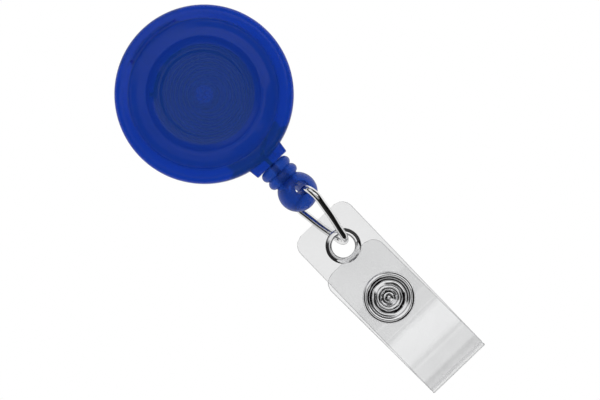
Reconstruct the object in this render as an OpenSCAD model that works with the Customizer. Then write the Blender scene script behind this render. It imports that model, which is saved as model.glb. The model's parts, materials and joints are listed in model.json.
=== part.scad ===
// Retractable badge reel: a round clip-on case whose sprung spool winds a thin cord.
// The cord carries a swivelling ball fitting, a wire link and a snap-closed clear strap.
// Frame: +Z up, front face towards -Y. The origin is the middle of the belt clip's slot,
// on the axis of the reel. Lengths are in millimetres.

/* [Case] */
// Outer diameter of the round case
case_d = 31.75; // [31.25:0.25:33.25]
// Radius of the flat label recess in the front face
dish_r = 7.3; // [6.5:0.1:7.6]
// Radius of the raised crest around the recess
crest_r = 10.25; // [10.05:0.05:10.6]
// Radius where the shoulder meets the rim
shoulder_r = 13.1; // [12.8:0.1:13.4]
// Height of the crest above the flat of the recess
crest_h = 1.1; // [0.6:0.1:1.3]
// Width of the cord outlet at its free end
outlet_w = 7; // [6.4:0.1:7.6]
// Distance from the reel axis to the end of the outlet
outlet_reach = 17.3; // [17:0.1:18.2]

/* [Spool and spring] */
// Outer radius of the drum that the cord is wound on
drum_r = 10.15; // [10:0.05:10.3]
// Inside radius of the spring cavity in the drum
cavity_r = 9.0; // [8.95:0.01:9.1]
// Diameter of the cord
cord_d = 0.75; // [0.6:0.05:0.8]
// Turns of cord side by side on the drum
turns_wide = 4; // [3:1:4]
// Layers of cord on the drum
cord_layers = 3; // [2:1:3]
// Turns in the mainspring
spring_turns = 9; // [6:1:9]
// Thickness of the mainspring strip
spring_t = 0.12; // [0.08:0.01:0.2]

/* [Belt clip] */
// Width of the steel clip
clip_w = 12; // [9:0.5:12.5]
// Thickness of the steel strip
clip_t = 0.7; // [0.5:0.1:0.9]
// Opening between the two leaves
clip_gap = 4.4; // [4.2:0.1:5]

/* [End fitting and link] */
// Radius of the ball eye
ball_r = 3.57; // [3.3:0.05:3.7]
// Radius of the cross hole in the ball
eye_r = 1.3; // [1.1:0.05:1.5]
// How far the fitting is turned about its own axis at rest, in degrees
fitting_turn = 20; // [0:1:40]
// Diameter of the link's wire
wire_d = 1.36; // [1:0.05:1.4]
// Length of the link, between wire centres
link_len = 11.4; // [10.5:0.05:12]

/* [Strap] */
// Width of the clear strap
strap_w = 12.5; // [11:0.1:13]
// Thickness of the strap sheet
strap_t = 0.5; // [0.4:0.05:0.6]
// Length of the back half, from its top edge to the fold
strap_len = 36.5; // [34:0.5:40]
// Length of the front flap, from its end to the fold
flap_len = 27.9; // [26:0.1:28.2]
// Sideways lean of the flap, as a slope
flap_lean = 0.027; // [0:0.001:0.04]
// Diameter of the snap's rolled cap
snap_d = 9.35; // [8.5:0.05:9.6]
// Diameter of the grommet's flange
grommet_d = 6.35; // [6:0.05:6.6]

/* [Hidden] */
$fn = 72;
eps = 0.01;

// Colours
plastic_blue = [0.05, 0.17, 0.52];
spool_blue = [0.10, 0.13, 0.30];
plated = [0.75, 0.76, 0.78];
steel = [0.55, 0.56, 0.58];
clear_vinyl = [0.88, 0.90, 0.92];
cord_black = [0.05, 0.05, 0.06];

// Depths in the case, measured towards the front from the plane that the cord lies in
case_r = case_d / 2;
back_d = -3.9;
floor_d = -2.6;
web_d = -2.4;
groove_d = 1.7;
flange_t = 0.6;
rim_d = 3.45;
dish_d = 3.6;
cover_t = 1.0;
crest_d = dish_d + crest_h;
edge_r = 1.3;
chamber_r = 13.5;
lip_r = 14.4;
lip_d = 1.2;
lip_gap = 0.05;
cord_y = -clip_gap / 2 - clip_t + back_d;

// Centre post, spool and spring
post_base_r = 2.6;
post_r = 2.3;
post_top_d = 2.2;
spool_play = 0.05;
flange_r = 13.2;
rivet_r = 0.95;
slot_w = 0.5;
spring_w = 3.4;
spring_d = -1.6;
spring_angle = -43.8;
pitch_left = 0.71;
pitch_right = 0.53;
spring_shift = 1.6;

// Cord: turns on the drum, then a tangent to the outlet's lip, then straight down
cord_r = cord_d / 2;
layer_step = 0.71;
turn_step = 0.84;
top_layer_r = drum_r + 0.41 + (cord_layers - 1) * layer_step;
run_r = top_layer_r + 2 * cord_r + 0.03;
lip_bend_r = 1.2;
lip_z = -15.2;
outlet_hole_r = 0.8;

// End fitting, from the outlet down
fitting_top_z = -outlet_reach - 0.02;
bead_r = 1.0;
bead_ring_r = 2.04;
bead_z = [-18.32, -20.12];
ball_z = -23.9;
knot_r = 1.05;
knot_z = -20.35;
wire_r = wire_d / 2;
pivot_z = ball_z - eye_r + wire_r + 0.02;

// Link: a flat-topped pear of round wire, from its top bar down
link_bend_r = 2.1;
link_half = 3.5;
link_tip_r = 1.9;

// Strap
strap_x = -1.0;
strap_top_z = -29.95;
strap_corner_r = 2.3;
layer_gap = 1.5;
fold_r = (layer_gap + strap_t) / 2;
fold_y = cord_y - fold_r;
fold_z = strap_top_z - strap_len + fold_r + strap_t / 2;
flap_y = cord_y - 2 * fold_r;
grommet_x = -0.78;
grommet_z = -36.45;
grommet_hole_r = 2.05;
snap_x = -1.26;
snap_z = -48.56;

// Puts local x, y and z on the object's X, Z and -Y, from a point of the object
module facing(at = [0, cord_y, 0]) {
    translate(at) rotate([90, 0, 0]) children();
}

// Points of an elliptical arc
function arc_points(c, rx, ry, from, to, steps) =
    [for (i = [0:steps]) let (a = from + (to - from) * i / steps)
        [c[0] + rx * cos(a), c[1] + ry * sin(a)]];

// ---------------------------------------------------------------- case

// Half of the cord outlet between two depths: a short block, tapering downwards
module outlet_block(low, high) {
    half = outlet_w / 2;
    intersection() {
        translate([0.1, 0, low]) linear_extrude(high - low)
            polygon([[-half - 0.35, -14.2], [-half, -outlet_reach], [half, -outlet_reach],
                     [half + 0.35, -14.2]]);
        translate([0.1, -14, 0]) rotate([90, 0, 0]) linear_extrude(5) {
            square([outlet_w + 0.7, 4.2], center = true);
            square([outlet_w - 0.9, 5.8], center = true);
            for (x = [-1, 1], y = [-1, 1])
                translate([x * (outlet_w / 2 - 0.45), y * 2.1]) circle(0.8);
        }
    }
}

// Room for the cord: a bore through the outlet with a lip that the cord bends round
module outlet_passage() {
    translate([0, -13, 0]) rotate([90, 0, 0]) cylinder(r = outlet_hole_r, h = 6);
    translate([0, 0, -outlet_hole_r]) linear_extrude(2 * outlet_hole_r)
        difference() {
            polygon([[-outlet_hole_r, lip_z], [-2.2, -12.8], [6.5, -10.4], [4.2, -13.4],
                     [lip_bend_r, lip_z + 0.9], [outlet_hole_r, lip_z]]);
            translate([lip_bend_r + cord_r + 0.3, lip_z - 0.2]) circle(lip_bend_r - 0.05);
        }
}

module front_cover_profile() {
    outer = concat(
        [[0, dish_d], [dish_r, dish_d]],
        arc_points([dish_r, crest_d - 0.05], crest_r - dish_r - 0.15, crest_h - 0.05,
                   -78, 0, 6),
        [[crest_r - 0.05, crest_d]],
        arc_points([crest_r, rim_d], shoulder_r - crest_r, crest_d - rim_d, 86, 12, 7),
        [[shoulder_r, rim_d]],
        arc_points([case_r - edge_r, rim_d - edge_r], edge_r, edge_r, 90, 0, 6),
        [[case_r, 0]]);
    inner = [[lip_r + lip_gap, 0], [lip_r + lip_gap, lip_d + lip_gap],
             [chamber_r, lip_d + lip_gap], [chamber_r, rim_d - cover_t],
             [12.6, rim_d - cover_t + 0.15], [crest_r + 0.6, crest_d - cover_t - 0.1],
             [crest_r - 0.7, crest_d - cover_t - 0.1], [dish_r + 0.5, dish_d - cover_t],
             [0, dish_d - cover_t]];
    polygon(concat(outer, inner));
}

module front_cover() {
    color(plastic_blue) facing() {
        difference() {
            union() {
                rotate_extrude() front_cover_profile();
                difference() {
                    outlet_block(0, 2.9);
                    translate([0, 0, -1]) cylinder(r = lip_r + 0.5, h = 6);
                }
            }
            outlet_passage();
        }
        // latch rib on the rim, opposite the outlet
        rotate([0, 0, 70]) rotate_extrude(angle = 40)
            translate([13.7, rim_d - 0.2]) square([0.4, 0.35]);
    }
}

module back_cover_profile() {
    polygon(concat(
        [[0, back_d], [case_r - edge_r, back_d]],
        arc_points([case_r - edge_r, back_d + edge_r], edge_r, edge_r, -90, 0, 6),
        [[case_r, -lip_gap], [lip_r, -lip_gap], [lip_r, lip_d], [chamber_r, lip_d],
         [chamber_r, floor_d], [post_base_r, floor_d], [post_base_r, web_d + 0.75],
         [post_r, web_d + 0.75], [post_r, post_top_d], [0, post_top_d]]));
}

module back_cover() {
    color(plastic_blue) facing() difference() {
        union() {
            rotate_extrude() back_cover_profile();
            difference() {
                outlet_block(-2.9, -lip_gap);
                translate([0, 0, -3]) cylinder(r = lip_r, h = 6);
            }
        }
        outlet_passage();
        // bore for the rivet, and the slot for the spring's inner end
        translate([0, 0, back_d - 1]) cylinder(r = rivet_r + 0.05, h = 8);
        rotate([0, 0, spring_angle])
            translate([-post_r - 1, -slot_w / 2, spring_d - 0.05])
                cube([2 * post_r + 2, slot_w, 6]);
    }
}

// ---------------------------------------------------------------- belt clip

// Side view of the bent strip: y runs back, z runs up
module clip_side() {
    bend_z = 11.2;
    gap_r = clip_gap / 2;
    out = gap_r + clip_t;
    polygon(concat(
        [[-out, -12.4]],
        arc_points([0, bend_z], out, out, 180, 0, 16),
        // outer leaf with its inward jaw and outward lip
        [[out, -6.5], [0.35, -12.05], [1.6, -14], [0.95, -14.3], [-0.55, -12],
         [gap_r, -6.6]],
        arc_points([0, bend_z], gap_r, gap_r, 0, 180, 16),
        [[-gap_r, -12.4]]));
}

module clip_outline() {
    r = 2.2;
    square([clip_w, 28.4 - 2 * r], center = true);
    square([clip_w - 2 * r, 28.4], center = true);
    for (x = [-1, 1], y = [-1, 1])
        translate([x * (clip_w / 2 - r), y * (14.2 - r)]) circle(r);
}

module belt_clip() {
    color(plated) difference() {
        intersection() {
            rotate([90, 0, 90]) linear_extrude(clip_w, center = true) clip_side();
            translate([0, 6, -0.05]) rotate([90, 0, 0]) linear_extrude(12) clip_outline();
        }
        facing([0, 4, 0]) cylinder(r = 2.9, h = 4);
        facing([0, 0, 0]) cylinder(r = rivet_r + 0.05, h = 4);
    }
}

module clip_rivet() {
    head_h = 0.22;
    tip_h = 0.23;
    low = -clip_gap / 2 - cord_y;
    color(steel) facing([0, cord_y, 0]) rotate_extrude() {
        translate([0, -low - head_h]) square([rivet_r, low + head_h + post_top_d + tip_h]);
        translate([0, -low - head_h]) square([2.4, head_h - eps]);
        translate([0, post_top_d + eps]) square([1.6, tip_h - eps]);
    }
}

// ---------------------------------------------------------------- spool, spring and cord

module spool() {
    color(spool_blue) facing() difference() {
        rotate_extrude() {
            polygon([[post_base_r + spool_play, web_d], [flange_r, web_d],
                     [flange_r, -groove_d], [drum_r, -groove_d], [drum_r, groove_d],
                     [flange_r, groove_d], [flange_r, groove_d + flange_t],
                     [cavity_r, groove_d + flange_t], [cavity_r, -groove_d],
                     [post_base_r + spool_play, -groove_d]]);
        }
        // notch for the spring's outer hook
        rotate([0, 0, spring_angle]) translate([-9.72, -0.5, -groove_d])
            cube([0.9, 0.9, 6]);
        // hole through the drum wall for the cord's inner end
        rotate([90, 0, 120]) translate([0, 0, cavity_r - 0.5])
            cylinder(r = cord_r + 0.1, h = 1.9);
    }
}

// Strip centre line on each side of the post after k turns
function spring_left(k) = post_r + 0.12 + pitch_left * k;
function spring_right(k) = post_r + 0.12 + pitch_right * k + spring_shift * (1 - exp(-k));

// Points of the strip's edge, off the centre line, over half turn j
function spring_edge(j, off) =
    let (k = floor(j / 2),
         left = spring_left(k),
         right = j % 2 == 0 ? spring_right(k) : spring_right(k + 1),
         from = j % 2 == 0 ? 0 : 180)
    arc_points([(right - left) / 2, 0], (left + right) / 2 + off, (left + right) / 2 + off,
               from, from + 180, 14);

module mainspring() {
    half_turns = 2 * spring_turns;
    half_t = spring_t / 2;
    tang = rivet_r + 0.15;
    hook = spring_left(spring_turns) + 0.75;
    outer = [for (j = [0:half_turns], p = spring_edge(j, half_t)) p];
    inner = [for (j = [half_turns:-1:0], e = [spring_edge(j, -half_t)], i = [14:-1:0]) e[i]];
    color(steel) facing() rotate([0, 0, spring_angle]) translate([0, 0, spring_d])
        linear_extrude(spring_w) polygon(concat(
            [[tang, 0], [tang, -spring_t], [outer[0][0], -spring_t]],
            outer,
            [[-hook, 0], [-hook, -spring_t], [inner[0][0], -spring_t]],
            inner));
}

module cord_winding() {
    half = (turns_wide - 1) / 2 * turn_step;
    color(cord_black) facing() rotate_extrude() {
        translate([drum_r + 0.02, -half]) square([top_layer_r - drum_r - 0.02, 2 * half]);
        for (i = [0:turns_wide - 1])
            translate([top_layer_r, -half + i * turn_step]) circle(cord_r);
        for (j = [0:cord_layers - 2], s = [-1, 1])
            translate([drum_r + 0.41 + j * layer_step, s * half]) circle(cord_r);
    }
}

// The tangent that crosses between the wound turns and the outlet's lip
lip_c = [lip_bend_r, lip_z];
lip_dist = norm(lip_c);
normal_a = atan2(-lip_c[1], -lip_c[0]) + acos((run_r + lip_bend_r) / lip_dist);
normal_v = [cos(normal_a), sin(normal_a)];
run_start = -run_r * normal_v;
run_end = lip_c + lip_bend_r * normal_v;

// Centre line of the cord from the drum to the outlet's end, and its direction at a point
run_path = concat([run_start], arc_points(lip_c, lip_bend_r, lip_bend_r, normal_a, 180, 8),
                  [[0, -outlet_reach]]);
function run_heading(i) =
    let (d = run_path[min(i + 1, len(run_path) - 1)] - run_path[max(i - 1, 0)]) d / norm(d);

module cord_run() {
    sides = 10;
    rings = len(run_path);
    points = [for (i = [0:rings - 1], a = [0:sides - 1])
        let (h = run_heading(i), turn = 360 * a / sides,
             p = run_path[i] + cord_r * cos(turn) * [h[1], -h[0]])
        [p[0], p[1], cord_r * sin(turn)]];
    walls = [for (i = [0:rings - 2], a = [0:sides - 1])
        let (b = (a + 1) % sides)
        [i * sides + a, i * sides + b, (i + 1) * sides + b, (i + 1) * sides + a]];
    color(cord_black) facing() polyhedron(points, concat(
        walls,
        [[for (a = [sides - 1:-1:0]) a]],
        [[for (a = [0:sides - 1]) (rings - 1) * sides + a]]));
}

module cord_tail() {
    color(cord_black) translate([0, cord_y, 0]) {
        translate([0, 0, knot_z]) cylinder(r = cord_r, h = -outlet_reach - 0.01 - knot_z);
        translate([0, 0, knot_z]) sphere(r = knot_r);
        translate([0, 0, knot_z - 1.3]) cylinder(r = cord_r, h = 1.3);
    }
}

// ---------------------------------------------------------------- end fitting and link

module end_fitting() {
    color(plastic_blue) translate([0, cord_y, 0]) rotate([0, 0, fitting_turn]) difference() {
        rotate_extrude() {
            intersection() {
                union() {
                    translate([0, ball_z + 1]) square([2.2, fitting_top_z - ball_z - 1]);
                    for (z = bead_z) translate([bead_ring_r, z]) circle(bead_r);
                    translate([0, ball_z]) circle(ball_r);
                }
                translate([0, -30]) square([6, 30 + fitting_top_z]);
            }
        }
        // bore for the cord, and the chamber that its knot pulls up into
        translate([0, 0, -22]) cylinder(r = cord_r + 0.12, h = 6);
        translate([0, 0, ball_z]) cylinder(r = knot_r + 0.1, h = knot_z + knot_r + 0.03 - ball_z);
        // eye for the link, with an eased mouth at each side
        translate([0, 0, ball_z]) rotate([90, 0, 0]) rotate_extrude()
            polygon([[0, -5], [eye_r + 1.9, -5], [eye_r, -3.05], [eye_r, 3.05],
                     [eye_r + 1.9, 5], [0, 5]]);
    }
}

// Wire stretches of the link in its own plane: x along the bar, y up from the bar's centre
module link_wire() {
    c1 = [link_half, -link_bend_r];
    c2 = [0, -link_len + link_tip_r];
    d = c1 - c2;
    lean = atan2(d[0], d[1]);
    turn = asin((link_bend_r - link_tip_r) / norm(d));
    side_a = -lean + turn;
    p1 = c1 + link_bend_r * [cos(side_a), sin(side_a)];
    p2 = c2 + link_tip_r * [cos(side_a), sin(side_a)];
    rotate([0, 90, 0]) cylinder(r = wire_r, h = 2 * link_half, center = true);
    for (m = [0, 1]) mirror([m, 0, 0]) {
        translate([c1[0], c1[1], 0]) rotate([0, 0, side_a])
            rotate_extrude(angle = 90 - side_a) translate([link_bend_r, 0]) circle(wire_r);
        translate([p2[0], p2[1], 0]) rotate([0, 0, atan2(p1[1] - p2[1], p1[0] - p2[0])])
            rotate([0, 90, 0]) cylinder(r = wire_r, h = norm(p1 - p2));
    }
    translate([c2[0], c2[1], 0]) rotate([0, 0, 180 - side_a])
        rotate_extrude(angle = 180 + 2 * side_a) translate([link_tip_r, 0]) circle(wire_r);
}

module link_ring() {
    color(plated) translate([0, cord_y, pivot_z]) rotate([0, 0, fitting_turn - 90])
        rotate([90, 0, 0]) link_wire();
}

// ---------------------------------------------------------------- strap

module rounded_end(left, right, top, bottom, lean) {
    r = strap_corner_r;
    shift = -lean * (top - bottom);
    polygon(concat(
        [[left, bottom], [right, bottom]],
        arc_points([right + shift - r, top - r], r, r, 0, 90, 6),
        arc_points([left + shift + r, top - r], r, r, 90, 180, 6)));
}

module strap_back() {
    color(clear_vinyl) facing([0, cord_y + strap_t / 2, 0]) linear_extrude(strap_t)
        difference() {
            rounded_end(strap_x - strap_w / 2, strap_x + strap_w / 2, strap_top_z, fold_z, 0);
            translate([grommet_x, grommet_z]) circle(grommet_hole_r + 0.25);
            translate([snap_x, snap_z]) circle(1.25);
        }
}

module strap_fold() {
    color(clear_vinyl) translate([strap_x - strap_w / 2, fold_y, fold_z])
        rotate([90, 0, 90]) linear_extrude(strap_w) difference() {
            circle(fold_r + strap_t / 2);
            circle(fold_r - strap_t / 2);
            translate([-5, 0]) square([10, 5]);
        }
}

module strap_flap() {
    color(clear_vinyl) facing([0, flap_y + strap_t / 2, 0]) linear_extrude(strap_t)
        difference() {
            rounded_end(strap_x - strap_w / 2, strap_x + strap_w / 2,
                        fold_z - fold_r - strap_t / 2 + flap_len, fold_z, flap_lean);
            translate([snap_x, snap_z]) circle(1.75);
        }
}

module grommet() {
    half = strap_t / 2;
    outer = grommet_d / 2;
    crest = half + 0.42;
    back = -half - 0.7;
    roll = 0.3;
    // sloping flange at the front, rolled mouths, curl over the washer at the back
    color(plated) facing([grommet_x, cord_y, grommet_z]) rotate_extrude() polygon(concat(
        [[outer, half], [outer, half + 0.05], [outer - 0.35, crest - 0.12]],
        arc_points([grommet_hole_r + roll, crest - roll], roll, roll, 90, 180, 6),
        arc_points([grommet_hole_r + roll, back + roll], roll, roll, 180, 270, 6),
        [[grommet_hole_r + 0.65, back], [grommet_hole_r + 0.65, -half - 0.4],
         [grommet_hole_r + 0.22, -half - 0.4], [grommet_hole_r + 0.22, half]]));
}

module grommet_washer() {
    half = strap_t / 2;
    color(plated) facing([grommet_x, cord_y, grommet_z]) rotate_extrude()
        translate([grommet_hole_r + 0.24, -half - 0.4])
            square([grommet_d / 2 - grommet_hole_r - 0.24, 0.4]);
}

module snap_cap() {
    rim = 0.55;
    front = strap_t / 2;
    color(plated) facing([snap_x, flap_y, snap_z]) rotate_extrude() {
        translate([snap_d / 2 - rim, front + rim + 0.01]) circle(rim);
        translate([1.45, front]) square([snap_d / 2 - rim - 1.45, 0.25]);
        translate([1.9, front + 0.46]) circle(0.45);
        // barrel through the strap and the floor of the hollow
        translate([1.45, -front - 0.25]) square([0.25, strap_t + 0.6]);
        translate([0, front - 0.55]) square([1.5, 0.2]);
    }
}

module snap_socket() {
    back = -strap_t / 2;
    color(plated) facing([snap_x, flap_y, snap_z]) rotate_extrude() difference() {
        union() {
            translate([1.72, back - 0.3]) square([2.45, 0.3]);
            translate([1.58, back - 1.15]) square([1.84, 0.88]);
        }
        // groove for the ring spring
        translate([1.6, back - 0.77]) circle(0.2);
    }
}

module snap_spring() {
    color(steel) facing([snap_x, flap_y, snap_z])
        rotate_extrude() translate([1.6, -strap_t / 2 - 0.77]) circle(0.16);
}

module snap_stud() {
    front = strap_t / 2;
    color(plated) facing([snap_x, cord_y, snap_z]) rotate_extrude() {
        translate([0.97, front]) square([2.3, 0.22]);
        translate([0.97, front]) square([0.33, 1.15]);
        translate([1.36, front + 1.05]) circle(0.14);
    }
}

module snap_post() {
    back = -strap_t / 2;
    color(plated) facing([snap_x, cord_y, snap_z]) rotate_extrude() {
        translate([3.3, back - 0.42]) circle(0.42);
        translate([0, back - 0.25]) square([3.3, 0.25]);
        translate([0, back]) square([0.95, strap_t + 0.9]);
    }
}

front_cover();
back_cover();
belt_clip();
clip_rivet();
spool();
mainspring();
cord_winding();
cord_run();
cord_tail();
end_fitting();
link_ring();
strap_back();
strap_fold();
strap_flap();
grommet();
grommet_washer();
snap_cap();
snap_socket();
snap_spring();
snap_stud();
snap_post();
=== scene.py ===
import json
import math

import bmesh
import bpy
from mathutils import Matrix, Vector

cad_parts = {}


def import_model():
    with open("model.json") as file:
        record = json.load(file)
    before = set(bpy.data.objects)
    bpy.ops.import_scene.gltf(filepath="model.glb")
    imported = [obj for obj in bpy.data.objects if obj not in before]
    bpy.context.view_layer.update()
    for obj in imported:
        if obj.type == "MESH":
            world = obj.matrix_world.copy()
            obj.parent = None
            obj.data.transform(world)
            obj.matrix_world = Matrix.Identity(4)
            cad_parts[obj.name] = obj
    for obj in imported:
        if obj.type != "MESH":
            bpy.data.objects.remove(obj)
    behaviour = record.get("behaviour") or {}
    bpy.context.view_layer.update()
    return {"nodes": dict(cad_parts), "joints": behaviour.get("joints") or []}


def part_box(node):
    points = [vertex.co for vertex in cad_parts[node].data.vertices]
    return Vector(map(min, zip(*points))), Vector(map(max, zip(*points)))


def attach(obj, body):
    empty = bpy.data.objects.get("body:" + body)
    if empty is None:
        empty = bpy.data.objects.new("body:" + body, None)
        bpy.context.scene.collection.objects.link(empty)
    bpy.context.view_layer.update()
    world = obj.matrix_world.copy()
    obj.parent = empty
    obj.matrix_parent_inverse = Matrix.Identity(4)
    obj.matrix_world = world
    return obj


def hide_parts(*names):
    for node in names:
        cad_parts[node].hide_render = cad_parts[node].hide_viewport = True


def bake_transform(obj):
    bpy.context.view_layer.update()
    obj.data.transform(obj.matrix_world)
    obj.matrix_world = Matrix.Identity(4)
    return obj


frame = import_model()
MM = 0.001


# ---------------------------------------------------------------- places, from the frame

def middle(node):
    low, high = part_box(node)
    return [(a + b) / 2 for a, b in zip(low, high)]


def joint(name):
    return next(j for j in frame["joints"] if j["name"] == name)


REEL_X, REEL_Z = middle("spool")[0], middle("spool")[2]
CORD_Y = joint("spool_spin")["pos_m"][1]
CASE_R = (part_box("front_cover")[1][0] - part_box("front_cover")[0][0]) / 2 / MM
BACK_D = (CORD_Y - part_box("back_cover")[1][1]) / MM
CREST_D = (CORD_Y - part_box("front_cover")[0][1]) / MM
OUTLET_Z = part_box("front_cover")[0][2] / MM
BAR = joint("link_swing")["pos_m"]
BAR_AXIS = joint("link_swing")["axis"]
FOLD = joint("flap_open")["pos_m"]
GROMMET = middle("grommet")
SNAP = middle("snap_cap")

# up and right in the picture: the reel is seen square on, rolled about its own front axis
UP = Vector((0.692, 0, 0.722)).normalized()
RIGHT = UP.cross(Vector((0, -1, 0)))


# ---------------------------------------------------------------- mesh helpers

ON_AXIS = 1e-6
SHARP, TUBE_SHARP, SHEET_SHARP = 35, 40, 50


def arc(cx, cy, rx, ry, start, stop, steps):
    """Points of an elliptical arc, angles in degrees."""
    found = []
    for i in range(steps + 1):
        a = math.radians(start + (stop - start) * i / steps)
        found.append((cx + rx * math.cos(a), cy + ry * math.sin(a)))
    return found


def new_object(name, bm, sharp=SHARP):
    """A smooth-shaded object from a bmesh, with edges over the sharp angle kept crisp."""
    mesh = bpy.data.meshes.new(name)
    bmesh.ops.recalc_face_normals(bm, faces=bm.faces)
    bm.to_mesh(mesh)
    bm.free()
    for p in mesh.polygons:
        p.use_smooth = True
    mesh.set_sharp_from_angle(angle=math.radians(sharp))
    obj = bpy.data.objects.new(name, mesh)
    bpy.context.scene.collection.objects.link(obj)
    return obj


def lathe(name, profile, place, segments=180, shape=None):
    """Revolves a closed outline of (radius, height) points.

    place turns (x, y, height) into the frame. shape may change a point by its angle.
    """
    bm = bmesh.new()
    rings = []
    for r, h in profile:
        if r < ON_AXIS:
            v = bm.verts.new(place(0, 0, h))
            rings.append([v] * segments)
            continue
        ring = []
        for i in range(segments):
            a = 2 * math.pi * i / segments
            rr, hh = shape(a, r, h) if shape else (r, h)
            ring.append(bm.verts.new(place(rr * math.cos(a), rr * math.sin(a), hh)))
        rings.append(ring)
    for k in range(len(rings)):
        near, far = rings[k], rings[(k + 1) % len(rings)]
        for i in range(segments):
            j = (i + 1) % segments
            corners = []
            for v in (near[i], near[j], far[j], far[i]):
                if v not in corners:
                    corners.append(v)
            if len(corners) > 2:
                bm.faces.new(corners)
    return new_object(name, bm)


def tube(name, path, radius, sides=16, closed=False):
    """A round tube along points in metres. radius is a length, or a function of the share run."""
    bm = bmesh.new()
    n = len(path)
    path = [Vector(p) for p in path]
    rings, normal = [], None
    for i, p in enumerate(path):
        if closed:
            heading = (path[(i + 1) % n] - path[i - 1]).normalized()
        else:
            heading = (path[min(i + 1, n - 1)] - path[max(i - 1, 0)]).normalized()
        if normal is None:
            normal = heading.orthogonal().normalized()
        normal = (normal - heading * normal.dot(heading)).normalized()
        side = heading.cross(normal)
        r = radius(i / (n - 1)) if callable(radius) else radius
        rings.append([bm.verts.new(p + r * (math.cos(a) * normal + math.sin(a) * side))
                      for a in (2 * math.pi * k / sides for k in range(sides))])
    for i in range(n if closed else n - 1):
        near, far = rings[i], rings[(i + 1) % n]
        for k in range(sides):
            j = (k + 1) % sides
            bm.faces.new((near[k], near[j], far[j], far[k]))
    if not closed:
        bm.faces.new(rings[0][::-1])
        bm.faces.new(rings[-1])
    return new_object(name, bm, TUBE_SHARP)


def cut(obj, *tools):
    """Takes the tools out of obj for good, and removes them."""
    for tool in tools:
        m = obj.modifiers.new("cut", "BOOLEAN")
        m.object, m.operation, m.solver = tool, "DIFFERENCE", "EXACT"
    bpy.context.view_layer.update()
    done = bpy.data.meshes.new_from_object(
        obj.evaluated_get(bpy.context.evaluated_depsgraph_get()))
    obj.modifiers.clear()
    obj.data = done
    for p in done.polygons:
        p.use_smooth = True
    done.set_sharp_from_angle(angle=math.radians(SHARP))
    for tool in tools:
        bpy.data.objects.remove(tool)


def facing(x0=REEL_X, y0=CORD_Y, z0=REEL_Z):
    """Places a disc-like piece: x and y across the front, height towards the viewer."""
    return lambda x, y, d: (x0 + x * MM, y0 - d * MM, z0 + y * MM)


def upright(x0, y0):
    """Places a piece turned about the vertical: height is Z in millimetres."""
    return lambda x, y, z: (x0 + x * MM, y0 + y * MM, z * MM)


def finish_piece(obj, body, nodes, material):
    """Gives a piece its material and body, and hides the CAD nodes whose place it takes."""
    obj.data.materials.clear()
    obj.data.materials.append(material)
    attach(obj, body)
    if nodes:
        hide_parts(*nodes)


# ---------------------------------------------------------------- materials

def new_material(name):
    """A node material, with its tree and its main shader."""
    mat = bpy.data.materials.new(name)
    mat.use_nodes = True
    tree = mat.node_tree
    shader = next(n for n in tree.nodes if n.type == "BSDF_PRINCIPLED")
    return mat, tree, shader


def node(tree, kind, **inputs):
    """A node with some of its sockets set."""
    made = tree.nodes.new(kind)
    for key, value in inputs.items():
        made.inputs[key.replace("_", " ")].default_value = value
    return made


def noise(tree, scale, detail=2.0, stretch=None):
    """Noise in object space, optionally stretched along an axis."""
    coords = tree.nodes.new("ShaderNodeTexCoord")
    out = coords.outputs["Object"]
    if stretch:
        mapping = node(tree, "ShaderNodeMapping", Scale=stretch)
        tree.links.new(out, mapping.inputs["Vector"])
        out = mapping.outputs["Vector"]
    made = node(tree, "ShaderNodeTexNoise", Scale=scale, Detail=detail)
    tree.links.new(out, made.inputs["Vector"])
    return made.outputs["Fac"]


def ramp(tree, value, low, high, at=(0.0, 1.0)):
    """Maps a value to a range of numbers."""
    made = node(tree, "ShaderNodeMapRange")
    made.inputs["From Min"].default_value, made.inputs["From Max"].default_value = at
    made.inputs["To Min"].default_value, made.inputs["To Max"].default_value = low, high
    tree.links.new(value, made.inputs["Value"])
    return made.outputs["Result"]


def tint(tree, value, dark, light):
    """A colour between two, by value."""
    made = tree.nodes.new("ShaderNodeValToRGB")
    made.color_ramp.elements[0].color = (*dark, 1)
    made.color_ramp.elements[1].color = (*light, 1)
    tree.links.new(value, made.inputs["Fac"])
    return made.outputs["Color"]


def curve(tree, value, stops):
    """Brightness along a colour ramp given as (position, brightness)."""
    made = tree.nodes.new("ShaderNodeValToRGB")
    while len(made.color_ramp.elements) < len(stops):
        made.color_ramp.elements.new(0.5)
    for stop, (at, bright) in zip(made.color_ramp.elements, stops):
        stop.position = at
        stop.color = (bright, bright, bright, 1)
    tree.links.new(value, made.inputs["Fac"])
    return made.outputs["Color"]


def maths(tree, operation, *values):
    """One sum on sockets and plain numbers."""
    made = tree.nodes.new("ShaderNodeMath")
    made.operation = operation
    for socket, value in zip(made.inputs, values):
        if isinstance(value, float):
            socket.default_value = value
        else:
            tree.links.new(value, socket)
    return made.outputs[0]


def bump(tree, shader, value, strength, distance):
    made = node(tree, "ShaderNodeBump", Strength=strength, Distance=distance)
    tree.links.new(value, made.inputs["Height"])
    tree.links.new(made.outputs["Normal"], shader.inputs["Normal"])


def blue_plastic(name, dark, light, see_through, rough):
    """Moulded translucent plastic: faint flow marks, fine scuffs and a slightly rippled gloss."""
    mat, tree, shader = new_material(name)
    flow = noise(tree, 90, 3)
    scuff = noise(tree, 2600, 4, (1, 1, 3))
    tree.links.new(tint(tree, flow, dark, light), shader.inputs["Base Color"])
    tree.links.new(ramp(tree, scuff, rough * 0.7, rough * 1.5, (0.35, 0.7)),
                   shader.inputs["Roughness"])
    shader.inputs["IOR"].default_value = 1.24
    shader.inputs["Transmission Weight"].default_value = see_through
    bump(tree, shader, noise(tree, 140, 1), 0.04, 0.0002)
    return mat


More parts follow.
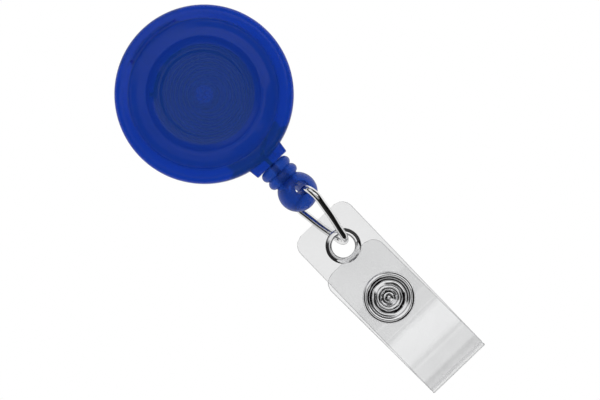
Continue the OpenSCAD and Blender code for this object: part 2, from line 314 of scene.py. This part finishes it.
def plated_metal(name, colour, rough, brush=None):
    """Nickel plate: drawing or tumbling marks in the roughness, and a faint bump."""
    mat, tree, shader = new_material(name)
    cloud = noise(tree, 700, 4)
    marks = noise(tree, 3200, 5, brush or (1, 1, 1))
    dark = tuple(c * 0.86 for c in colour)
    tree.links.new(tint(tree, cloud, dark, colour), shader.inputs["Base Color"])
    tree.links.new(ramp(tree, marks, rough * 0.5, rough * 1.9, (0.3, 0.72)),
                   shader.inputs["Roughness"])
    shader.inputs["Metallic"].default_value = 1.0
    bump(tree, shader, marks, 0.05, 0.0001)
    return mat


def vinyl_sheet(name, dark, light):
    """Clear flexible sheet: nearly colourless, with soft ripples and scuffs.

    A vertex attribute on the mesh scales the colour along its length: painted shade at the fold
    and a painted highlight band above it.
    """
    mat, tree, shader = new_material(name)
    # painted shade and highlight: the vertex attribute scales the sheet's colour
    painted_light = tree.nodes.new("ShaderNodeAttribute")
    painted_light.attribute_name = "sheet_tone"
    shade = tree.nodes.new("ShaderNodeVectorMath")
    shade.operation = "SCALE"
    tree.links.new(tint(tree, noise(tree, 160, 2), dark, light), shade.inputs[0])
    tree.links.new(painted_light.outputs["Fac"], shade.inputs["Scale"])
    tree.links.new(shade.outputs["Vector"], shader.inputs["Base Color"])
    tree.links.new(ramp(tree, noise(tree, 1500, 4), 0.03, 0.14, (0.35, 0.75)),
                   shader.inputs["Roughness"])
    shader.inputs["IOR"].default_value = 1.54
    shader.inputs["Transmission Weight"].default_value = 1.0
    bump(tree, shader, noise(tree, 150, 1, (1, 1, 0.4)), 0.2, 0.0004)
    return mat


def braided_cord(name):
    """Braided nylon: two crossed sets of strands in colour and bump."""
    mat, tree, shader = new_material(name)
    coords = tree.nodes.new("ShaderNodeTexCoord")
    waves = []
    for lean in (1, -1):
        mapping = node(tree, "ShaderNodeMapping")
        mapping.inputs["Rotation"].default_value = (0.4, 0.6 * lean, 0.7 * lean)
        tree.links.new(coords.outputs["Object"], mapping.inputs["Vector"])
        wave = node(tree, "ShaderNodeTexWave", Scale=1900, Distortion=0.6)
        tree.links.new(mapping.outputs["Vector"], wave.inputs["Vector"])
        waves.append(wave.outputs["Fac"])
    both = maths(tree, "MULTIPLY", *waves)
    tree.links.new(tint(tree, both, (0.008, 0.009, 0.012), (0.06, 0.06, 0.07)),
                   shader.inputs["Base Color"])
    tree.links.new(ramp(tree, both, 0.65, 0.4), shader.inputs["Roughness"])
    shader.inputs["Sheen Weight"].default_value = 0.4
    bump(tree, shader, both, 0.6, 0.0001)
    return mat


CASE_BLUE = blue_plastic("case_blue", (0.022, 0.115, 0.60), (0.030, 0.14, 0.68), 0.76, 0.03)
FITTING_BLUE = blue_plastic("fitting_blue", (0.012, 0.060, 0.38), (0.019, 0.076, 0.45), 0.62,
                            0.18)
SPOOL_BLUE = blue_plastic("spool_blue", (0.05, 0.20, 0.82), (0.07, 0.25, 0.92), 0.0, 0.3)
BRIGHT_WIRE = plated_metal("bright_wire", (0.88, 0.88, 0.88), 0.05, (1, 1, 0.1))
BRIGHT_CAP = plated_metal("bright_cap", (0.88, 0.88, 0.89), 0.05)
CLIP_STEEL = plated_metal("clip_steel", (0.80, 0.80, 0.80), 0.16, (0.08, 1, 1))
RIVET_STEEL = plated_metal("rivet_steel", (0.66, 0.67, 0.68), 0.22)
SPRING_STEEL = plated_metal("spring_steel", (0.24, 0.33, 0.50), 0.3, (1, 0.1, 1))
VINYL = vinyl_sheet("clear_vinyl", (0.825, 0.827, 0.83), (0.89, 0.892, 0.895))
# the sheet's cut edges and bevels in a darker grey: painted shade for the dark outline along a
# clear sheet's edges
VINYL_EDGE_SHADE = vinyl_sheet("vinyl_cut_edge", (0.36, 0.36, 0.365), (0.5, 0.5, 0.505))
CORD = braided_cord("braided_cord")


# ---------------------------------------------------------------- case

# Radii, and depths in front of the cord's plane, in millimetres
DISH_R, CREST_R, SHOULDER_R = 7.3, 10.25, 13.1
RIM_D, DISH_D, WALL = 3.45, 3.6, 1.0
EDGE_R = 1.3
CHAMBER_R, CHAMBER_FLOOR_D = 13.5, -2.6
LAP_R, LAP_D, LAP_PLAY = 14.45, 1.25, 0.05
POST_R, POST_BASE_R, POST_STEP_D, POST_TOP_D = 2.3, 2.6, -1.65, 2.2
RIVET_HOLE_R = 1.0
LATCH_R, LATCH_RIB = 13.9, 0.26
OUTLET_D, OUTLET_X = 2.9, 0.1


def front_shell():
    """Front half: flat recess, raised crest, sloping shoulder and rounded rim."""
    crest_h = CREST_D - DISH_D
    outer = [(0, DISH_D), (2, DISH_D), (5, DISH_D), (DISH_R - 0.6, DISH_D)]
    outer += arc(DISH_R - 0.2, CREST_D - 0.05, CREST_R - DISH_R + 0.02, crest_h - 0.05,
                 -88, -6, 16)
    outer += arc(CREST_R, CREST_D - 0.18, 0.17, 0.18, 150, 60, 6)
    outer += arc(CREST_R - 0.1, RIM_D, SHOULDER_R - CREST_R + 0.1, CREST_D - RIM_D - 0.04,
                 82, 14, 16)
    outer += [(SHOULDER_R + 0.15, RIM_D)]
    outer += arc(CASE_R - EDGE_R, RIM_D - EDGE_R, EDGE_R, EDGE_R, 90, 0, 12)
    outer += [(CASE_R, 0.08), (CASE_R - 0.08, 0)]
    inner = [(LAP_R, 0), (LAP_R, LAP_D), (CHAMBER_R, LAP_D), (CHAMBER_R, RIM_D - WALL),
             (12.6, RIM_D - WALL + 0.15)]
    inner += [(CREST_R + 0.6, CREST_D - WALL - 0.1), (CREST_R - 0.7, CREST_D - WALL - 0.1),
              (DISH_R + 0.5, DISH_D - WALL), (3, DISH_D - WALL), (0, DISH_D - WALL)]
    obj = lathe("front_shell", outer + inner, facing(), 240)
    pits = []
    for a in (math.radians(68), math.radians(112)):
        x, z = (SHOULDER_R + 0.75) * math.cos(a), (SHOULDER_R + 0.75) * math.sin(a)
        pits.append(lathe("pit", [(0, RIM_D - 0.9), (0.3, RIM_D - 0.9), (0.34, 4), (0, 4)],
                          facing(x * MM, CORD_Y, z * MM), 24))
    cut(obj, *pits)
    finish_piece(obj, "case", ["front_cover"], CASE_BLUE)


def back_shell():
    """Back half, with the wall that laps inside the front half and the centre post."""
    outer = [(RIVET_HOLE_R, BACK_D), (CASE_R - EDGE_R, BACK_D)]
    outer += arc(CASE_R - EDGE_R, BACK_D + EDGE_R, EDGE_R, EDGE_R, -90, 0, 12)
    outer += [(CASE_R, -0.13), (CASE_R - 0.08, -LAP_PLAY), (LAP_R - LAP_PLAY, -LAP_PLAY),
              (LAP_R - LAP_PLAY, LAP_D - LAP_PLAY), (CHAMBER_R, LAP_D - LAP_PLAY),
              (CHAMBER_R, CHAMBER_FLOOR_D), (POST_BASE_R, CHAMBER_FLOOR_D),
              (POST_BASE_R, POST_STEP_D), (POST_R, POST_STEP_D),
              (POST_R, POST_TOP_D - 0.1), (POST_R - 0.1, POST_TOP_D),
              (RIVET_HOLE_R, POST_TOP_D)]
    obj = lathe("back_shell", outer, facing(), 240)
    finish_piece(obj, "case", ["back_cover"], CASE_BLUE)


def outlet_half(name, inner, outer):
    """Half of the cord outlet between two depths: a tapering block with rounded outer edges."""
    edge = 0.7
    rise = math.copysign(edge, outer)
    bm = bmesh.new()
    rows = []
    for z, half in ((-14.9, 3.85), (-15.8, 3.68), (-16.6, 3.57), (OUTLET_Z + 0.12, 3.5),
                    (OUTLET_Z, 3.38)):
        loop = [(-half, inner), (half, inner)]
        loop += arc(half - edge, outer - rise, edge, rise, 0, 90, 6)
        loop += arc(-half + edge, outer - rise, edge, rise, 90, 180, 6)
        rows.append([bm.verts.new((REEL_X + (x + OUTLET_X) * MM, CORD_Y - d * MM, z * MM))
                     for x, d in loop])
    for near_row, far_row in zip(rows, rows[1:]):
        for k in range(len(near_row)):
            j = (k + 1) % len(near_row)
            bm.faces.new((near_row[k], near_row[j], far_row[j], far_row[k]))
    bm.faces.new(rows[0])
    bm.faces.new(rows[-1])
    obj = new_object(name, bm)
    finish_piece(obj, "case", [], CASE_BLUE)


def latch_rib():
    """Low rib on the rim opposite the outlet, where the halves snap together."""
    path = [facing()(LATCH_R * math.cos(math.radians(a)), LATCH_R * math.sin(math.radians(a)),
                     RIM_D) for a in range(70, 111, 2)]
    obj = tube("latch_rib", path, lambda t: LATCH_RIB * MM * (1 - abs(2 * t - 1) ** 12 * 0.9))
    finish_piece(obj, "case", [], CASE_BLUE)


def outlet_ribs():
    """Two short ribs on the front of the outlet."""
    for x in (0.8, 1.7):
        path = [facing()(x, z, OUTLET_D - 0.04) for z in (-15.9, -16.1, -16.3, -16.5, -16.7)]
        obj = tube("outlet_rib", path, 0.13 * MM, 12)
        finish_piece(obj, "case", [], CASE_BLUE)


# ---------------------------------------------------------------- spring and cord

SPRING_TURNS, SPRING_ANGLE = 9, math.radians(-43.8)
SPRING_START, STRIP_HALF = 2.42, 0.06
STRIP_BACK_D, STRIP_FRONT_D = -1.55, 1.75
CORD_R = 0.375
CORD_LAYERS, CORD_TURNS = 3, 4
FIRST_LAYER_R, LAYER_STEP, TURN_STEP = 10.56, 0.71, 0.8
LIP_X, LIP_Z, LIP_R = 1.2, -15.2, 1.2
KNOT_Z, CHAMBER_TOP_Z = -20.35, -19.3


def spring_side(turn, right):
    """Distance of the strip from the post's centre after whole turns, on one side."""
    if right:
        return SPRING_START + 0.53 * turn + 1.6 * (1 - math.exp(-turn))
    return SPRING_START + 0.71 * turn


def mainspring():
    """Eccentric spiral strip in the drum, from the slotted post to the drum wall."""
    line = []
    for j in range(2 * SPRING_TURNS + 1):
        k = j // 2
        left, right = spring_side(k, False), spring_side(k + j % 2, True)
        centre, radius = (right - left) / 2, (left + right) / 2
        start = 180 if j % 2 else 0
        line += arc(centre, 0, radius, radius, start, start + 180, 40)[:-1]
    c, s = math.cos(SPRING_ANGLE), math.sin(SPRING_ANGLE)
    bm = bmesh.new()
    rows = []
    for i, (x, y) in enumerate(line):
        ahead, behind = line[min(i + 1, len(line) - 1)], line[max(i - 1, 0)]
        out = Vector((ahead[1] - behind[1], behind[0] - ahead[0])).normalized() * STRIP_HALF
        row = []
        for side, d in ((1, STRIP_BACK_D), (1, STRIP_FRONT_D),
                        (-1, STRIP_FRONT_D), (-1, STRIP_BACK_D)):
            px, py = x + side * out.x, y + side * out.y
            row.append(bm.verts.new(facing()(px * c - py * s, px * s + py * c, d)))
        rows.append(row)
    for near, far in zip(rows, rows[1:]):
        for k in range(4):
            bm.faces.new((near[k], near[(k + 1) % 4], far[(k + 1) % 4], far[k]))
    bm.faces.new(rows[0])
    bm.faces.new(rows[-1])
    obj = new_object("mainspring_strip", bm)
    finish_piece(obj, "case", ["mainspring"], SPRING_STEEL)


def wound_cord():
    """The cord on the drum, turn by turn: layers laid across it and back."""
    path = []
    steps = 72
    for layer in range(CORD_LAYERS):
        r = FIRST_LAYER_R + LAYER_STEP * layer
        for i in range(CORD_TURNS * steps):
            turn = i / steps
            across = (turn - CORD_TURNS / 2) * TURN_STEP * (1 if layer % 2 == 0 else -1)
            a = 2 * math.pi * (turn + layer * CORD_TURNS)
            path.append(facing()(r * math.cos(a), r * math.sin(a), across))
    obj = tube("wound_cord", path, CORD_R * MM, 10)
    finish_piece(obj, "spool", ["cord_winding"], CORD)


def cord_inside():
    """The stretch from the drum to the outlet's lip."""
    start, stop = (6.0, -11.27), (0.63, -14.15)
    steps = 6
    path = [(start[0] + (stop[0] - start[0]) * t / steps,
             start[1] + (stop[1] - start[1]) * t / steps) for t in range(steps)]
    path += arc(LIP_X, LIP_Z, LIP_R, LIP_R, 118, 180, 10)
    obj = tube("cord_inside", [facing()(x, z, 0) for x, z in path], CORD_R * MM, 12)
    finish_piece(obj, "case", ["cord_run"], CORD)


def cord_outside():
    """The stretch that draws out between the outlet and the ball fitting."""
    length, steps = 4.6, 90
    path = [(REEL_X, CORD_Y, (LIP_Z - length * i / steps) * MM) for i in range(steps + 1)]
    obj = tube("cord_outside", path, CORD_R * MM, 12)
    obj.data.materials.append(CORD)
    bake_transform(obj)


def end_knot():
    """Overhand knot that holds the fitting on the cord."""
    path = []
    steps, size = 80, 0.23
    for i in range(steps):
        a = 2 * math.pi * i / steps
        path.append((REEL_X + (math.sin(a) + 2 * math.sin(2 * a)) * size * MM,
                     CORD_Y + (math.cos(a) - 2 * math.cos(2 * a)) * size * MM,
                     (KNOT_Z - math.sin(3 * a) * 0.4) * MM))
    obj = tube("end_knot", path, 0.36 * MM, 12, closed=True)
    finish_piece(obj, "cord_end", ["cord_tail"], CORD)


# ---------------------------------------------------------------- end fitting and link

BALL_Z, BALL_R, EYE_R = -23.9, 3.57, 1.3
BORE_R, KNOT_CHAMBER_R = 0.5, 1.15
BEAD_X, BEAD_R, BEAD_Z = 2.04, 1.0, (-18.32, -20.12)


def end_fitting():
    """Two soft beads over a ball with a cross eye, hollow for the cord and its knot."""
    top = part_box("end_fitting")[1][2] / MM
    outer = [(BORE_R, top), (1.9, top)]
    outer += arc(BEAD_X, BEAD_Z[0], BEAD_R, BEAD_R, 88, -62, 14)
    outer += arc(BEAD_X, BEAD_Z[1], BEAD_R, BEAD_R, 62, -50, 12)
    outer += [(2.27, -21.1)]
    outer += arc(0, BALL_Z, BALL_R, BALL_R, 49, -90, 34)
    outer += [(0, BALL_Z), (KNOT_CHAMBER_R, BALL_Z), (KNOT_CHAMBER_R, CHAMBER_TOP_Z),
              (BORE_R, CHAMBER_TOP_Z)]
    turn = math.atan2(BAR_AXIS[0], -BAR_AXIS[1])
    obj = lathe("ball_fitting", outer, upright(REEL_X, CORD_Y), 120)
    mouth = [(0, -5), (EYE_R, -5)]
    mouth += arc(EYE_R + 0.3, 3.0, 0.3, 0.5, 180, 90, 6)
    mouth += [(EYE_R + 1.5, 5), (0, 5)]
    c, s = math.cos(turn), math.sin(turn)

    def across(x, y, h):
        return (REEL_X + (x * c + h * s) * MM, CORD_Y + (x * s - h * c) * MM,
                (BALL_Z + y) * MM)

    cut(obj, lathe("eye", mouth, across, 64))
    finish_piece(obj, "fitting", ["end_fitting"], FITTING_BLUE)


WIRE_R, LEG_BOW = 0.68, 0.28


def link_path():
    """Centre line of the pear-shaped link in its own plane: across and up, in millimetres."""
    bend, half, tip = 2.1, 3.5, 1.9
    length = (BAR[2] - joint("strap_swing")["pos_m"][2]) / MM
    c1, c2 = Vector((half, -bend)), Vector((0, -length + tip))
    d = c1 - c2
    side = -math.degrees(math.atan2(d.x, d.y)) + math.degrees(math.asin((bend - tip) / d.length))
    right = arc(c1.x, c1.y, bend, bend, 90, side, 16)
    tip_arc = arc(c2.x, c2.y, tip, tip, side, -180 - side, 24)
    left = [(-x, y) for x, y in reversed(right)]
    bar = [(-half + 2 * half * i / 6, 0) for i in range(1, 6)]

    def run(a, b):
        points, steps = [], 10
        for i in range(1, steps):
            t = i / steps
            bow = LEG_BOW * math.sin(math.pi * t) ** 2 * math.copysign(1, a[0])
            points.append((a[0] + (b[0] - a[0]) * t + bow, a[1] + (b[1] - a[1]) * t))
        return points

    return right + run(right[-1], tip_arc[0]) + tip_arc + run(tip_arc[-1], left[0]) + left + bar


def link():
    """Round wire link through the eye and the eyelet."""
    path = []
    for s, z in link_path():
        path.append((BAR[0] + s * BAR_AXIS[0] * MM, BAR[1] + s * BAR_AXIS[1] * MM,
                     BAR[2] + z * MM))
    obj = tube("wire_link", path, WIRE_R * MM, 32, closed=True)
    finish_piece(obj, "link", ["link_ring"], BRIGHT_WIRE)


# ---------------------------------------------------------------- strap

STRAP_X, STRAP_W, STRAP_T = middle("strap_back")[0] / MM, 12.5, 0.5
BACK_Y = middle("strap_back")[1] / MM
FLAP_Y = middle("strap_flap")[1] / MM
STRAP_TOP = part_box("strap_back")[1][2] / MM
FLAP_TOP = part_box("strap_flap")[1][2] / MM
LEAN = 0.027
CORNER_R, BEVEL = 2.3, 0.14
EYELET_HOLE_R, STUD_HOLE_R, CAP_HOLE_R = 2.3, 1.25, 1.75


def strap_line():
    """The sheet's side view as (y, z, lean), from the back's top edge round the fold."""
    fold_y, fold_z = FOLD[1] / MM, FOLD[2] / MM
    fold_r = (BACK_Y - FLAP_Y) / 2
    line = []
    back_steps, flap_steps = 90, 70
    for i in range(back_steps):
        z = STRAP_TOP + (fold_z - STRAP_TOP) * i / back_steps
        line.append((BACK_Y, z, 0))
    for y, z in arc(fold_y, fold_z, fold_r, fold_r, 0, -180, 20):
        line.append((y, z, 0))
    for i in range(1, flap_steps + 1):
        z = fold_z + (FLAP_TOP - fold_z) * i / flap_steps
        line.append((FLAP_Y - bulge(z - fold_z), z, LEAN * (z - fold_z)))
    return line


def ease(value, start, stop):
    """Runs smoothly from 0 at start to 1 at stop."""
    t = min(max((value - start) / (stop - start), 0), 1)
    return t * t * (3 - 2 * t)


def bulge(above):
    """How far the flap stands out, by height above the fold: out above it, in below the snap."""
    full, dip = 0.42, -0.35
    full_at, dip_at, flat_at, tip_at = 4.6, 11, 14, 18
    if above > tip_at:
        return 0.05 * (above - tip_at) * ease(above, tip_at, tip_at + 2)
    if above > dip_at:
        return dip * (1 - ease(above, dip_at, flat_at))
    if above > full_at:
        return full + (dip - full) * ease(above, full_at, dip_at)
    return full * ease(above, 0, full_at)


def sheet_tone(above):
    """Painted light on the sheet by height above the fold: painted shade at the fold, a painted
    highlight band above it, plain higher up.
    """
    stops = ((-0.5, 1.0), (-0.3, 0.93), (1.1, 0.93), (1.6, 1.03), (4.4, 1.03), (6.0, 1.08),
             (9.5, 1.08), (11.2, 1.0))
    for (low, a), (high, b) in zip(stops, stops[1:]):
        if low <= above < high:
            return a + (b - a) * (above - low) / (high - low)
    return 1.0


def strap():
    """One clear sheet, folded round at the bottom, with rounded ends, two holes in the back layer
    and one in the flap.
    """
    line = strap_line()
    lengths = [0.0]
    for a, b in zip(line, line[1:]):
        lengths.append(lengths[-1] + math.hypot(a[0] - b[0], a[1] - b[1]))
    total, across = lengths[-1], 24
    bm = bmesh.new()
    rows = []
    for i, (y, z, shift) in enumerate(line):
        ends = min(lengths[i], total - lengths[i])
        half = STRAP_W / 2
        if ends < CORNER_R:
            half += math.sqrt(max(CORNER_R ** 2 - (CORNER_R - ends) ** 2, 0.01)) - CORNER_R
        before, after = line[max(i - 1, 0)], line[min(i + 1, len(line) - 1)]
        d = Vector((after[0] - before[0], after[1] - before[1])).normalized()
        normal = (d.y, -d.x)
        section = [(-half, -0.4), (-half + BEVEL, -1)]
        section += [(-half + (half * 2) * k / across, -1) for k in range(1, across)]
        section += [(half - BEVEL, -1), (half, -0.4)]
        section += [(-x, 1 if s < -0.9 else 0.4) for x, s in section]
        row = []
        for across_x, side in section:
            row.append(bm.verts.new(((STRAP_X - shift + across_x) * MM,
                                     (y + side * normal[0] * STRAP_T / 2) * MM,
                                     (z + side * normal[1] * STRAP_T / 2) * MM)))
        rows.append(row)
    count = len(rows[0])
    # the cut edges and bevels take the darker vinyl: painted shade along the sheet's outline
    edge = {0, count // 2 - 2, count // 2 - 1, count // 2, count - 2, count - 1}
    for near, far in zip(rows, rows[1:]):
        for k in range(count):
            j = (k + 1) % count
            face = bm.faces.new((near[k], near[j], far[j], far[k]))
            face.material_index = 1 if k in edge else 0
    for end in (rows[0], rows[-1]):
        bm.faces.new(end).material_index = 1
    obj = new_object("clear_strap", bm, SHEET_SHARP)
    obj.data.materials.append(VINYL)
    obj.data.materials.append(VINYL_EDGE_SHADE)
    holes = [lathe("hole", [(0, -1), (r, -1), (r, 1), (0, 1)], facing(x, y, z), 48)
             for x, y, z, r in (
                 (GROMMET[0], BACK_Y * MM, GROMMET[2], EYELET_HOLE_R),
                 (SNAP[0], BACK_Y * MM, SNAP[2], STUD_HOLE_R),
                 (SNAP[0], FLAP_Y * MM, SNAP[2], CAP_HOLE_R))]
    cut(obj, *holes)
    # painted shade at the fold and a painted highlight band above it, stored per vertex for the
    # vinyl's colour
    painted_light = obj.data.attributes.new("sheet_tone", "FLOAT", "POINT")
    for vert, value in zip(obj.data.vertices, painted_light.data):
        value.value = sheet_tone(vert.co.z / MM - FOLD[2] / MM)
    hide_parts("strap_back", "strap_fold", "strap_flap")
    # the bend lies between the two layers, clear of both sheets
    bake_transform(obj)


# ---------------------------------------------------------------- grommet and snap

def grommet():
    """Eyelet: a sloping flange over the sheet, a rolled mouth and a curl at the back."""
    half = STRAP_T / 2
    outline = [(3.17, half), (3.175, half + 0.02), (3.05, half + 0.12), (2.9, half + 0.23),
               (2.75, half + 0.33), (2.6, half + 0.415), (2.53, half + 0.44)]
    outline += arc(2.36, half + 0.16, 0.31, 0.3, 68, 180, 12)
    outline += [(2.05, -half - 0.5), (2.2, -half - 0.66)]
    outline += arc(2.42, -half - 0.42, 0.28, 0.28, -90, 0, 6)
    outline += [(2.7, -half - 0.4), (2.27, -half - 0.4), (2.27, half)]
    obj = lathe("strap_grommet", outline, facing(GROMMET[0], BACK_Y * MM, GROMMET[2]), 96)
    finish_piece(obj, "strap", ["grommet"], BRIGHT_CAP)


def snap_cap():
    """Rolled cap: round rim, crimped valley and a raised inner ring round a stepped hollow."""
    front = STRAP_T / 2
    outline = [(0, front - 0.1), (0.2, front - 0.13), (0.34, front - 0.3), (0.5, front - 0.38),
               (0.66, front - 0.3), (0.8, front - 0.2), (0.95, front - 0.22),
               (1.12, front - 0.36), (1.3, front - 0.46), (1.42, front - 0.3)]
    outline += arc(1.93, front + 0.36, 0.5, 0.5, 190, 58, 14)
    outline += [(2.3, front + 0.66), (2.42, front + 0.55), (2.6, front + 0.465),
                (2.8, front + 0.38), (2.98, front + 0.345), (3.12, front + 0.38),
                (3.28, front + 0.45), (3.42, front + 0.54)]
    outline += arc(4.0, front + 0.5, 0.66, 0.6, 160, 100, 8)
    outline += arc(4.08, front + 0.5, 0.58, 0.6, 84, -55, 18)
    outline += [(4.2, front), (1.72, front), (1.72, -1.0), (1.45, -1.0), (1.45, front - 0.7),
                (0, front - 0.7)]

    def crimped(a, r, h):
        if 2.4 < r < 3.5 and h > front + 0.1:
            h += (0.022 * math.sin(8 * a + 2 * r) + 0.02 * math.sin(3 * a + 1)) * (3.5 - r)
        if 1.5 < r < 2.4 and h > front + 0.3:
            h += 0.025 * math.sin(3 * a + 1)
        if r < 1.3 and h > front - 0.5:
            h += 0.04 * math.sin(3 * a + 2) * r
        return r, h

    obj = lathe("snap_button", outline, facing(SNAP[0], FLAP_Y * MM, SNAP[2]), 144, crimped)
    finish_piece(obj, "flap", ["snap_cap"], BRIGHT_CAP)


# ---------------------------------------------------------------- build

front_shell()
back_shell()
outlet_half("outlet_front", 0.0, OUTLET_D)
outlet_half("outlet_back", -0.05, -OUTLET_D)
latch_rib()
outlet_ribs()
mainspring()
wound_cord()
cord_inside()
cord_outside()
end_knot()
end_fitting()
link()
strap()
grommet()
snap_cap()

CARRIED = {
    "spool": SPOOL_BLUE, "belt_clip": CLIP_STEEL, "clip_rivet": RIVET_STEEL,
    "grommet_washer": BRIGHT_CAP, "snap_socket": BRIGHT_CAP, "snap_spring": SPRING_STEEL,
    "snap_stud": BRIGHT_CAP, "snap_post": BRIGHT_CAP,
}
for name, material in CARRIED.items():
    obj = frame["nodes"][name]
    obj.data.materials.clear()
    obj.data.materials.append(material)


# ---------------------------------------------------------------- stage, light and camera

def floor():
    """Plain pale floor, well below the part and left out of its reflections."""
    mat, _, shader = new_material("floor_white")
    shader.inputs["Base Color"].default_value = (0.9, 0.9, 0.9, 1)
    shader.inputs["Roughness"].default_value = 0.8
    bpy.ops.mesh.primitive_plane_add(size=12, location=(0, 0, -1.0))
    obj = bpy.context.object
    obj.name = "floor"
    obj.data.materials.append(mat)
    obj.visible_glossy = False


def world():
    """White all round. Reflections see a ring of light in front, dark flags and a pale back."""
    sky = bpy.data.worlds.new("studio")
    bpy.context.scene.world = sky
    sky.use_nodes = True
    tree = sky.node_tree
    background = next(n for n in tree.nodes if n.type == "BACKGROUND")
    coords = tree.nodes.new("ShaderNodeTexCoord")
    parts = []
    for axis in ((0, -1, 0), RIGHT, UP):
        dot = tree.nodes.new("ShaderNodeVectorMath")
        dot.operation = "DOT_PRODUCT"
        dot.inputs[1].default_value = axis
        tree.links.new(coords.outputs["Generated"], dot.inputs[0])
        parts.append(dot.outputs["Value"])
    # angle from the front, as a share of half a turn
    away = maths(tree, "MULTIPLY", maths(tree, "ARCCOSINE", parts[0]), 1 / math.pi)
    around = maths(tree, "MULTIPLY_ADD", maths(tree, "ARCTAN2", parts[2], parts[1]),
                   0.5 / math.pi, 0.5)
    near = curve(tree, away, ((0.0, 0.06), (0.036, 0.08), (0.046, 1.0), (0.064, 1.0),
                              (0.076, 0.0)))
    belt = curve(tree, away, ((0.064, 0.0), (0.076, 1.0), (0.183, 1.0), (0.211, 0.05),
                              (0.455, 0.04), (0.50, 0.85), (1.0, 1.0)))
    far = curve(tree, away, ((0.435, 0.0), (0.47, 1.0)))
    flags = curve(tree, around, ((0.0, 0.55), (0.31, 0.5), (0.325, 0.06), (0.405, 0.06),
                                 (0.41, 0.6), (0.433, 0.6), (0.436, 0.05), (0.535, 0.05),
                                 (0.545, 1.1), (0.80, 1.2), (0.93, 0.8)))
    side = maths(tree, "MULTIPLY", belt, maths(tree, "MAXIMUM", flags, far))
    overhead = maths(tree, "MULTIPLY", curve(tree, away, ((0.37, 1.0), (0.42, 0.0))),
                     curve(tree, around, ((0.76, 0.0), (0.82, 0.9), (0.93, 0.9), (0.98, 0.0))))
    total = maths(tree, "MAXIMUM", maths(tree, "MAXIMUM", near, side), overhead)
    behind = curve(tree, away, ((0.0, 1.0), (0.78, 1.0), (0.86, 0.4), (0.93, 0.3),
                                (0.955, 0.85), (1.0, 0.6)))
    total = maths(tree, "MULTIPLY", total, behind)
    path = tree.nodes.new("ShaderNodeLightPath")
    # light that has bounced off something, and not light seen straight through a clear sheet
    bounces = maths(tree, "ADD", path.outputs["Glossy Depth"], path.outputs["Diffuse Depth"])
    glossy = maths(tree, "MULTIPLY", path.outputs["Is Glossy Ray"],
                   maths(tree, "GREATER_THAN", bounces, 0.5))
    level = maths(tree, "MULTIPLY_ADD", glossy, maths(tree, "SUBTRACT", total, 1.0), 1.0)
    tree.links.new(level, background.inputs["Strength"])
    background.inputs["Color"].default_value = (1, 1, 1, 1)


def camera():
    """Square on to the front face, rolled so that the strap hangs to the lower right."""
    data = bpy.data.cameras.new("camera")
    data.lens, data.sensor_width = 150, 36
    obj = bpy.data.objects.new("camera", data)
    seen_width = 0.1066
    distance = seen_width * data.lens / data.sensor_width
    centre = Vector((REEL_X - 0.0007, CORD_Y, REEL_Z - 0.02524))
    obj.location = centre - Vector((0, distance, 0))
    obj.rotation_euler = Matrix((RIGHT, UP, Vector((0, -1, 0)))).transposed().to_euler()
    data.clip_start, data.clip_end = 0.01, 20
    bpy.context.scene.collection.objects.link(obj)
    bpy.context.scene.camera = obj


floor()
world()
camera()
bpy.context.scene.view_settings.view_transform = "Standard"
